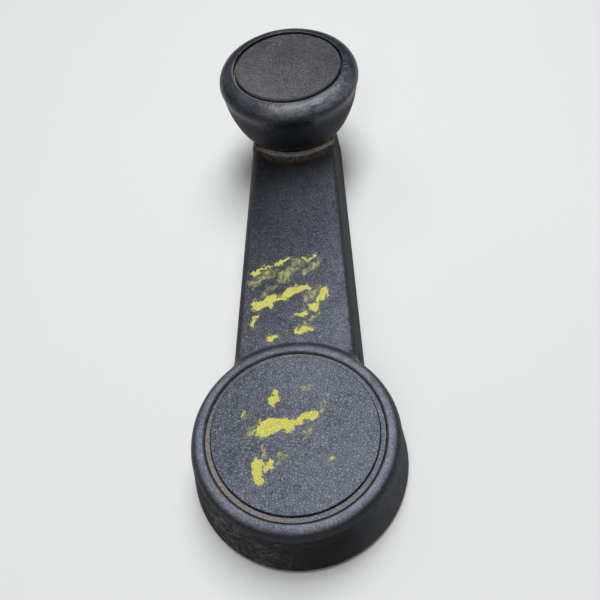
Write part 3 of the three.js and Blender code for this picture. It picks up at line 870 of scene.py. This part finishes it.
def stiffening(p):
    """Ribs, rings and bosses of the underside."""
    far = 40
    parts = [box_distance(p, (x - RIB / 2, 12, RIB_FOOT_Z), (x + RIB / 2, REACH, far)) for x in (-4.6, 4.6)]
    parts += [box_distance(p, (-far, y - RIB / 2, RIB_FOOT_Z), (far, y + RIB / 2, far)) for y in CROSS_RIBS_Y]
    for i in range(8):
        a = (i + 0.5) * pi / 4
        turned = [p[0] * cos(a) + p[1] * sin(a), p[1] * cos(a) - p[0] * sin(a), p[2]]
        parts.append(box_distance(turned, (12, -RIB / 2, RIB_FOOT_Z), (26, RIB / 2, far)))
    parts.append(tube_distance(p, BARREL_R + FIT, STRAP_HUB_R + 0.4, RIB_FOOT_Z, far))
    parts.append(tube_distance(p, SNAP_WALL_R, SNAP_WALL_R + SNAP_WALL_T, RIB_FOOT_Z, RING_TOP_Z + 1))
    parts += [tube_distance(p, -1, 3.8, RIB_FOOT_Z, far, (0, y)) for y in STRAP_SCREWS_Y]
    parts.append(tube_distance(on_spindle(p), -1, 7.5, STRAP_Z + STRAP_T - arm_top(REACH) - 0.5, 0))
    return reduce(lambda a, b: smooth_min(a, b, 0.7), parts)


def strap_space(p):
    low = -20
    top = STRAP_Z + STRAP_T + 0.05
    run = np.maximum(tapered(p[0], p[1], STRAP_HALF + 0.4, STRAP_HALF + 0.4), p[2] - top)
    parts = [run, tube_distance(p, -1, STRAP_HUB_R + 0.4, low, top)]
    parts.append(tube_distance(p, RING_IN_R - 0.6, SNAP_WALL_R, low, RING_TOP_Z + 0.6))
    parts.append(tube_distance(p, 12, RING_OUT_R + 0.5, low, RIB_FOOT_Z + 0.2))
    return reduce(np.minimum, parts)


def boss_screw_places():
    angles = [pi / 4 + i * pi / 2 for i in range(4)]
    return [(BOSS_SCREW_CIRCLE_R * cos(a), BOSS_SCREW_CIRCLE_R * sin(a)) for a in angles]


def crank_arm_distance(p):
    """Signed distance, in millimetres, to the surface of the arm's moulding."""
    spindle = on_spindle(p)
    outside = smooth_min(hub_outside(p), arm_inside(p, 0), 2.6)
    raised = [p[0], p[1], p[2] - SEAT_BOSS_H]
    seat = smooth_max(tube_distance(spindle, -1, SEAT_BOSS_R, -3, SEAT_BOSS_H), arm_inside(raised, 0), 0.3)
    outside = smooth_min(outside, seat, 0.5)
    outside = smooth_max(outside, RIM_Z - p[2], 0.5)
    shell = smooth_max(outside, -hollow(p, WALL), 0.5)
    stiff = np.maximum(stiffening(p), hollow(p, WALL / 2))
    stiff = smooth_max(stiff, -strap_space(p), 0.3)
    body = smooth_min(shell, stiff, 0.6)
    lip = tube_distance(p, SNAP_LIP_R, SNAP_WALL_R + SNAP_WALL_T, RIB_FOOT_Z + 0.2, RIB_FOOT_Z + 0.9)
    body = smooth_min(body, lip, 0.3)
    body = smooth_min(body, tube_distance(p, -1, POCKET_R + 1, DECK_Z, POCKET_Z), 0.4)
    body = smooth_max(body, -tube_distance(p, -1, POCKET_R, POCKET_Z, HUB_TOP_Z + 5), 1.2)
    cuts = [tube_distance(p, -1, BARREL_R + FIT, 0, POCKET_Z + 1)]
    cuts.append(tube_distance(spindle, -1, SHANK_R + FIT, -20, 5))
    cuts += [tube_distance(p, -1, SCREW_HOLE_R, 0, STRAP_Z + 6.4, (0, y)) for y in STRAP_SCREWS_Y]
    cuts += [tube_distance(p, -1, 1.35, DECK_Z - 4, POCKET_Z + 1, spot) for spot in boss_screw_places()]
    for cut in cuts:
        body = smooth_max(body, -cut, 0.18)
    return body


def slope_of(points, reach):
    """The distance and its slope at each point, from four places round it."""
    corners = np.array([(1, -1, -1), (-1, -1, 1), (-1, 1, -1), (1, 1, 1)], float)
    slope = np.zeros_like(points)
    total = np.zeros(len(points))
    for c in corners:
        value = crank_arm_distance([points[:, i] + reach * c[i] for i in range(3)])
        slope += value[:, None] * c
        total += value
    return total / 4, slope / (4 * reach)


def settle(points, rounds):
    """Draws points onto the moulding's surface."""
    for _ in range(rounds):
        value, slope = slope_of(points, 0.03)
        steep = np.maximum((slope**2).sum(1), 0.25)
        step = np.clip(value / steep, -0.6, 0.6)
        points = points - slope * step[:, None]
    return points


def vertices_of(mesh):
    """A mesh's vertices, in millimetres from the trim's plane."""
    co = np.empty(len(mesh.vertices) * 3)
    mesh.vertices.foreach_get("co", co)
    return co.reshape(-1, 3) / MM + np.array([0, 0, SOCKET_TOP_Z])


def refine(mesh):
    """Splits the faces where a small rounding shows: the pocket's rim and the seat's edge."""
    points = vertices_of(mesh)
    r = np.hypot(points[:, 0], points[:, 1])
    seat = np.hypot(points[:, 0], points[:, 1] - REACH)
    rim = (r > 19.8) & (r < 22.0) & (points[:, 2] > HUB_TOP_Z - 2.2)
    edge = (seat > 15.9) & (seat < 18.1) & (points[:, 1] < REACH) & (points[:, 2] > ARM_TOP_Z + 1)
    chosen = rim | edge
    made = bmesh.new()
    made.from_mesh(mesh)
    made.verts.ensure_lookup_table()
    edges = [e for e in made.edges if chosen[e.verts[0].index] and chosen[e.verts[1].index]]
    bmesh.ops.subdivide_edges(made, edges=edges, cuts=1, use_grid_fill=True)
    bmesh.ops.triangulate(made, faces=[f for f in made.faces if len(f.verts) > 4])
    made.to_mesh(mesh)
    made.free()


def crank_arm():
    """The CAD arm remeshed finely, then drawn onto its rounded surface."""
    thing = add_object("crank_arm_look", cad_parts["crank_arm"].data.copy())
    weld(thing)
    remesh = thing.modifiers.new("remesh", "REMESH")
    remesh.mode = "VOXEL"
    remesh.voxel_size = 0.6 * MM
    bake(thing)
    mesh = thing.data
    refine(mesh)
    points = vertices_of(mesh)
    count = len(points)
    ends = np.empty(len(mesh.edges) * 2, int)
    mesh.edges.foreach_get("vertices", ends)
    a, b = ends.reshape(-1, 2).T
    degree = np.bincount(a, minlength=count) + np.bincount(b, minlength=count)
    points = settle(points, 3)
    for _ in range(2):
        total = np.zeros_like(points)
        for axis in range(3):
            total[:, axis] = np.bincount(a, points[b, axis], count) + np.bincount(b, points[a, axis], count)
        points = 0.5 * points + 0.5 * total / degree[:, None]
        points = settle(points, 2)
    _, slope = slope_of(points, 0.1)
    normals = slope / np.maximum(np.linalg.norm(slope, axis=1), 1e-9)[:, None]
    mesh.vertices.foreach_set("co", place(points).ravel())
    mesh.shade_smooth()
    mesh.update()
    mesh.normals_split_custom_set_from_vertices(normals.tolist())
    return dress(thing, "crank", arm_finish, smooth=0)


crank_arm()


# ---------------- hub pieces


def turned_piece(name, profile, pose, body, finish, segments=96):
    return dress(mesh_object(name, revolve(rounded(profile), segments), pose), body, finish)


def hub_cap():
    low = HUB_TOP_Z - CAP_T
    step = HUB_TOP_Z - CAP_STEP
    outer = POCKET_R - 0.12
    profile = [(0, low), (outer, low, 0.12), (outer, step, 0.15), (CAP_FACE_R + 0.08, step, 0.2)]
    profile += [(CAP_FACE_R, HUB_TOP_Z, 0.38), (0, HUB_TOP_Z)]
    cap = mesh_object("hub_cap_look", revolve(rounded(profile), 192))
    finger = block((18.7, -2.4, POCKET_Z + 0.5), (20.05, 2.4, low + 0.2))
    combine(cap, "UNION", [turned_by(finger, i * pi / 3) for i in range(6)])
    return dress(cap, "hub_cap", hub_finish)


def friction_ring():
    profile = [
        (RING_IN_R, 0, 0.35),
        (RING_OUT_R, 0, 0.5),
        (RING_OUT_R, RING_T, 0.35),
        (RING_COLLAR_R, RING_T, 0.3),
        (RING_COLLAR_R, RING_TOP_Z - 1.1, 0.15),
        (RING_BEAD_R, RING_TOP_Z - 0.7, 0.2),
        (RING_COLLAR_R + 0.2, RING_TOP_Z, 0.2),
        (RING_IN_R, RING_TOP_Z, 0.25),
    ]
    return turned_piece("friction_ring_look", profile, UPRIGHT, "friction_ring", black_acetal, 192)


def drive_boss():
    low = POCKET_Z + 0.05
    top = low + FLANGE_T
    profile = [
        (0, BARREL_Z),
        (BARREL_R, BARREL_Z, 0.8),
        (BARREL_R, low, 0.1),
        (FLANGE_R, low, 0.15),
        (FLANGE_R, top, 0.4),
        (4, top, 0.3),
        (3.2, top - 0.8, 0.3),
        (0, top - 0.8),
    ]
    boss = mesh_object("drive_boss_look", revolve(rounded(profile), 120))
    teeth = []
    flat = 0.28 * pi / SPLINE_TEETH
    for i in range(SPLINE_TEETH * 2):
        a = i * pi / SPLINE_TEETH
        teeth += arc(SPLINE_TIP_R if i % 2 else SPLINE_ROOT_R, a - flat, a + flat, 2)
    mouth = [(0, BARREL_Z - 0.5), (6.1, BARREL_Z - 0.5), (4.4, BARREL_Z + 1.2), (0, BARREL_Z + 1.2)]
    cuts = [prism(teeth, BARREL_Z - 1, SOCKET_TOP_Z), revolve(mouth, 96)]
    slot_half = WIRE_R + FIT
    for side in (-1, 1):
        x = side * CLIP_LEG_X
        cuts.append(block((x - slot_half, -12, CLIP_Z - slot_half), (x + slot_half, 12, CLIP_Z + slot_half)))
    for spot in boss_screw_places():
        cuts.append(rod(1.6, POCKET_Z - 1, top + 1, spot))
    combine(boss, "DIFFERENCE", cuts)
    return dress(boss, "crank", zinc, smooth=30)


def retaining_clip():
    """A round wire bent to a horseshoe, with rounded ends."""
    bow, bow_y = 4.6, -8.9
    half = [
        (CLIP_LEG_X + 1.5, 10.4),
        (CLIP_LEG_X + 0.5, 9.3),
        (CLIP_LEG_X, 8.3),
        (CLIP_LEG_X, 0),
        (CLIP_LEG_X, bow_y + 1.2),
        (bow + 0.3, bow_y - 1),
        (bow * 0.75, bow_y - 3.1),
    ]
    bend = half + [(0, bow_y - bow + 0.6)] + [(-x, y) for x, y in reversed(half)]
    return wire("retaining_clip_look", hermite(np.array(bend, float), 150), WIRE_R, CLIP_Z)


def hermite(knots, count):
    """Samples along a smooth curve through knots."""
    gaps = np.sqrt(np.linalg.norm(np.diff(knots, axis=0), axis=1))
    times = np.concatenate([[0], np.cumsum(gaps)])
    slopes = np.gradient(knots, times, axis=0)
    samples = []
    for t in np.linspace(times[0], times[-1], count):
        i = min(np.searchsorted(times, t, "right") - 1, len(times) - 2)
        span = times[i + 1] - times[i]
        s = (t - times[i]) / span
        leaving = (2 * s**3 - 3 * s**2 + 1) * knots[i] + (s**3 - 2 * s**2 + s) * span * slopes[i]
        arriving = (3 * s**2 - 2 * s**3) * knots[i + 1] + (s**3 - s**2) * span * slopes[i + 1]
        samples.append(leaving + arriving)
    return np.array(samples)


def wire(name, line, radius, z, sides=20):
    """A round wire along a line in a level plane, its ends domed."""
    ahead = np.gradient(line, axis=0)
    ahead /= np.linalg.norm(ahead, axis=1)[:, None]
    stations = [(spot, run, radius) for spot, run in zip(line, ahead)]
    for q in (1.2, 0.8, 0.35):
        out = radius * cos(q)
        stations.insert(0, (line[0] - ahead[0] * out, ahead[0], radius * sin(q)))
        stations.append((line[-1] + ahead[-1] * out, ahead[-1], radius * sin(q)))
    points = []
    for centre, tangent, r in stations:
        for j in range(sides):
            a = 2 * pi * j / sides
            across = r * cos(a)
            x, y = centre[0] - tangent[1] * across, centre[1] + tangent[0] * across
            points.append((x, y, z + r * sin(a)))
    faces = [list(range(sides))[::-1], list(range(len(points) - sides, len(points)))]
    for i in range(len(stations) - 1):
        for j in range(sides):
            k = (j + 1) % sides
            faces.append([i * sides + j, i * sides + k, (i + 1) * sides + k, (i + 1) * sides + j])
    thing = mesh_object(name, (np.array(points), faces))
    return dress(thing, "crank", dark_spring)


def screw(name, head_r, head_h, shank_r, length, pose):
    """A pan-head screw with a cross recess and a thread; its head's underside is at Z = 0."""
    turns = int(length / 0.8)
    profile = [(0, -length), (shank_r * 0.35, -length, 0.1)]
    for i in range(turns):
        z = -length + 1.0 + i * (length - 1.2) / turns
        grow = min(1, 0.55 + 0.25 * i)
        profile += [(shank_r * 0.78 * grow, z), (shank_r * grow, z + 0.3), (shank_r * grow, z + 0.36)]
    profile += [(shank_r * 0.8, 0), (head_r, 0, 0.15), (head_r, head_h * 0.5, 0.3)]
    profile += [(head_r * 0.62, head_h, head_h * 0.5), (0, head_h)]
    thing = mesh_object(name, revolve(rounded(profile), 64), pose)
    wide, blade_half = head_r * 0.52, 0.28
    low, high = head_h * 0.3, head_h + 0.5
    outline = [(-wide, high), (-wide * 0.45, low), (wide * 0.45, low), (wide, high)]
    upright, faces = prism(outline, -blade_half, blade_half)
    blade = upright[:, [0, 2, 1]], [face[::-1] for face in faces]
    cuts = [turned_by(blade, 0.4 + turn) for turn in (0, pi / 2)]
    combine(thing, "DIFFERENCE", cuts, pose)
    return dress(thing, "crank", plated, smooth=35)


def core_strap():
    low, high = STRAP_Z, STRAP_Z + STRAP_T
    meet = acos(STRAP_HALF / STRAP_HUB_R)
    outline = arc(STRAP_HUB_R, pi - meet, 2 * pi + meet, 90)
    outline += arc(STRAP_HALF, 0, pi, 40, (0, REACH))
    strap = mesh_object("core_strap_look", prism(outline, low, high))
    cuts = [rod(BARREL_R + FIT, low - 1, high + 1, segments=96)]
    cuts += [rod(1.8, low - 1, high + 1, (0, y)) for y in STRAP_SCREWS_Y]
    cuts += [rod(3, low - 1, high + 1, (0, y)) for y in (24, 60, 93)]
    combine(strap, "DIFFERENCE", cuts)
    combine(strap, "DIFFERENCE", [rod(SHANK_R + FIT, -20, 0)], SPINDLE)
    soften(strap, 0.18)
    return dress(strap, "crank", plated, smooth=30)


hub_cap()
friction_ring()
drive_boss()
retaining_clip()
core_strap()
for index, (sx, sy) in enumerate(boss_screw_places()):
    lift = Matrix.Translation((sx, sy, POCKET_Z + FLANGE_T + 0.1))
    screw(f"boss_screw_{index + 1}_look", 2.5, 1.5, 1.2, 5, lift)
for index, sy in enumerate(STRAP_SCREWS_Y):
    flip = Matrix.Translation((0, sy, STRAP_Z - 0.05)) @ Matrix.Rotation(pi, 4, "X")
    screw(f"strap_screw_{index + 1}_look", 3.2, 2, 1.4, 6, flip)


# ---------------- knob pieces


def bowl_radius(height):
    return BOWL_FOOT_R + 3.75 * sin(pi / 2 * min(max(height, 0) / 13.6, 1)) ** 0.8


def knob_body():
    inlay_seat, tube_top, bowl_in = KNOB_H - INLAY_T - 0.2, KNOB_H - 7.2, WELL_R + 2.4
    profile = [(bowl_radius(0) - 2, 0, 0.3), (bowl_radius(0) - 0.35, 0, 0.5)]
    profile += [(bowl_radius(h), h) for h in (0.6, 1.2, 2, 3, 4.2, 5.6, 7.2, 9, 11, 12.8)]
    for i in range(19):
        a = -0.14 + (pi / 2 + 0.14) * i / 18
        profile.append((RIM_CENTRE_R + 4.35 * cos(a), KNOB_H - RIM_DEPTH + RIM_DEPTH * sin(a)))
    profile += [
        (INLAY_R + 0.28, KNOB_H - 0.05, 0.14),
        (INLAY_R + 0.25, inlay_seat, 0.1),
        (WELL_R, inlay_seat, 0.2),
        (WELL_R, WELL_FLOOR, 0.2),
        (BORE_R, WELL_FLOOR, 0.2),
        (BORE_R, 1.2, 0.2),
        (TUBE_R, 1.2, 0.3),
        (TUBE_R, tube_top, 0.6),
        (bowl_in, tube_top, 0.3),
        (bowl_in, 14.1, 0.5),
    ]
    profile += [(bowl_radius(h) - 2.3, h) for h in (13.4, 11, 8, 6, 4, 2.2, 1)]
    points, faces = revolve(rounded(profile), 176)
    turn = np.arctan2(points[:, 1], points[:, 0])
    r = np.hypot(points[:, 0], points[:, 1])
    outer = np.clip((r - BOWL_FOOT_R) / 2, 0, 1)
    height = points[:, 2]
    wobble = 0.035 * np.sin(3 * turn + 0.7 + 0.2 * height) + 0.02 * np.sin(7 * turn + 2.1 - 0.35 * height)
    points[:, :2] *= (1 + outer * (wobble - 0.08) / np.maximum(r, 1e-6))[:, None]
    body = mesh_object("knob_body_look", (points, faces), KNOB)
    return dress(body, "knob", knob_finish)


def knob_inlay():
    """The inlaid disc, a little crowned, and set very slightly out of true."""
    high = KNOB_H - 0.1
    low = KNOB_H - 0.05 - INLAY_T
    collar_in, collar_out, collar_low = WELL_R - 1.6, WELL_R - FIT, low - 1.4
    edge = INLAY_R - 0.25
    profile = [(0, low), (collar_in, low, 0.1), (collar_in, collar_low, 0.3), (collar_out, collar_low, 0.3)]
    profile += [(collar_out, low, 0.1), (edge, low, 0.2), (edge, high - 0.12, 0.4)]
    profile += [(11, high - 0.02), (6, high + 0.02), (0, high + 0.03)]
    tilt = Matrix.Rotation(radians(-1.1), 4, Vector((0.85, 0.5, 0)))
    seated = Matrix.Translation((0, 0.2, KNOB_H)) @ tilt @ Matrix.Translation((0, 0, -KNOB_H))
    return turned_piece("knob_inlay_look", profile, KNOB @ seated, "knob", disc_finish, 160)


def ring_profile(inner, outer, low, high, fillet):
    return [(inner, low, fillet), (outer, low, fillet), (outer, high, fillet), (inner, high, fillet)]


def washer(name, inner, outer, low, high, finish, fillet=0.12):
    return turned_piece(name, ring_profile(inner, outer, low, high, fillet), SPINDLE, "crank", finish)


def knob_bush():
    top = KNOB_H - 5.25
    profile = [
        (JOURNAL_R + 0.1, 0, 0.3),
        (TUBE_R - 0.3, 0, 0.2),
        (TUBE_R - 0.3, 1, 0.15),
        (BORE_R - 0.1, 1, 0.1),
        (BORE_R - 0.1, top, 0.2),
        (JOURNAL_R + 0.1, top, 0.3),
    ]
    return turned_piece("knob_bush_look", profile, KNOB, "knob", light_acetal)


def knob_spindle():
    tail = -(arm_top(REACH) - STRAP_Z) - 1.2
    groove = KNOB_U + KNOB_H - 3.6
    profile = [
        (0, tail - 1.7),
        (2.6, tail - 1.62, 0.6),
        (4.3, tail - 0.7, 0.5),
        (4.6, tail, 0.2),
        (SHANK_R, tail, 0.1),
        (SHANK_R, SEAT_BOSS_H + 0.05, 0.1),
        (COLLAR_R, SEAT_BOSS_H + 0.05, 0.15),
        (COLLAR_R, KNOB_U - 0.08, 0.2),
        (JOURNAL_R, KNOB_U - 0.08, 0.15),
        (JOURNAL_R, groove, 0.1),
        (SHANK_R, groove, 0.1),
        (SHANK_R, groove + 0.8, 0.1),
        (JOURNAL_R, groove + 0.8, 0.1),
        (JOURNAL_R, groove + 1.5, 0.5),
        (0, groove + 1.5),
    ]
    return turned_piece("knob_spindle_look", profile, SPINDLE, "crank", plated)


def wave_washer():
    base = KNOB_U + WELL_FLOOR + 0.05
    profile = ring_profile(WASHER_BORE_R, 7.2, base, base + 0.3, 0.08)
    points, faces = revolve(rounded(profile), 120)
    points[:, 2] += 0.25 * (1 + np.cos(3 * np.arctan2(points[:, 1], points[:, 0])))
    thing = mesh_object("wave_washer_look", (points, faces), SPINDLE)
    return dress(thing, "crank", dark_spring)


def spindle_clip():
    """An E-clip: an open ring with three inward lugs that grip the spindle's groove."""
    low = KNOB_U + WELL_FLOOR + 1.65
    high = KNOB_U + WELL_FLOOR + 2.3
    ring_in, ring_out, lug_in = 4.5, 6.6, SHANK_R + 0.2
    lug_half, mouth_half = 1.1, 2.3
    foot = asin(lug_half / ring_in)
    tip = asin(lug_half / lug_in)
    last = pi - asin(mouth_half / ring_out)
    start = pi - asin(mouth_half / ring_in)
    outline = arc(ring_out, -last, last, 84)
    end = -start
    for lug in (2 * pi / 3, 0, -2 * pi / 3):
        outline += arc(ring_in, start, lug + foot, 12) + arc(lug_in, lug + tip, lug - tip, 8)
        start = lug - foot
    outline += arc(ring_in, start, end, 12)
    clip = mesh_object("spindle_clip_look", prism(outline, low, high), SPINDLE)
    soften(clip, 0.08)
    return dress(clip, "crank", dark_spring, smooth=30)


knob_body()
knob_inlay()
knob_bush()
knob_spindle()
wave_washer()
spindle_clip()
rivet_top = -(arm_top(REACH) - STRAP_Z) - 0.3
washer("rivet_washer_look", SHANK_R + FIT, 6.4, rivet_top - 0.8, rivet_top, plated)
washer("thrust_washer_look", 6.5, 14.8, SEAT_BOSS_H + 0.1, KNOB_U - 0.15, light_acetal, 0.3)
flat_low = KNOB_U + WELL_FLOOR + 0.9
washer("flat_washer_look", WASHER_BORE_R, 7.4, flat_low, flat_low + 0.65, plated)


# ---------------- floor and lights

SOFTBOX_DISTANCE = 0.8
FLOOR_HALF = 3.0


def floor():
    look = Look("floor_finish")
    look.colour = look.noise(0.01, 2).tint((0.665, 0.66, 0.65), (0.685, 0.68, 0.67))
    look.roughness = 0.8
    z = -SOCKET_TOP_Z * MM - 0.0002
    corners = [(x * FLOOR_HALF, y * FLOOR_HALF, z) for x, y in ((-1, -1), (1, -1), (1, 1), (-1, 1))]
    mesh = bpy.data.meshes.new("floor")
    mesh.from_pydata(corners, [], [(0, 1, 2, 3)])
    mesh.materials.append(look.done(0.2))
    thing = add_object("floor", mesh)


def softbox(name, azimuth, elevation, size, power, colour):
    """A square area light over the handle; azimuth turns from +Y towards +X."""
    a, e = radians(azimuth), radians(elevation)
    aim = Vector((0, 0.05, 0))
    away = Vector((cos(e) * sin(a), cos(e) * cos(a), sin(e)))
    light = bpy.data.lights.new(name, "AREA")
    light.shape = "SQUARE"
    light.size = size
    light.energy = power
    light.color = colour
    lamp = add_object(name, light)
    lamp.location = aim + away * SOFTBOX_DISTANCE
    lamp.rotation_euler = away.to_track_quat("Z", "Y").to_euler()


def sky(strength, colour):
    world = bpy.data.worlds.new("studio")
    world.use_nodes = True
    background = world.node_tree.nodes["Background"]
    background.inputs["Color"].default_value = (*colour, 1)
    background.inputs["Strength"].default_value = strength
    bpy.context.scene.world = world


def camera():
    """Over the hub, looking down at the knob."""
    data = bpy.data.cameras.new("camera")
    data.sensor_width = 36
    data.lens = 39.97
    data.clip_start = 0.005
    data.clip_end = 20
    right = Vector((0.99649, -0.0084, -0.08332))
    down = Vector((-0.05547, -0.81159, -0.58158))
    ahead = Vector((-0.06274, 0.58416, -0.80921))
    spot = Vector((12.08, -62.92, 153.24 + RIM_Z - SOCKET_TOP_Z)) * MM
    turn = Matrix((right, -down, -ahead)).transposed().to_4x4()
    thing = add_object("camera", data)
    thing.matrix_world = Matrix.Translation(spot) @ turn
    bpy.context.scene.camera = thing


floor()
sky(0.04, (0.92, 0.96, 1.0))
softbox("key", 20, 67, 0.34, 3.5, (0.96, 0.98, 1.0))
softbox("top", 0, 88, 0.28, 3.7, (0.96, 0.98, 1.0))
softbox("front", 190, 50, 0.3, 1.0, (0.98, 0.99, 1.0))
softbox("fill", 315, 55, 0.4, 0.5, (0.95, 0.975, 1.0))
camera()
bpy.context.scene.view_settings.view_transform = "Standard"
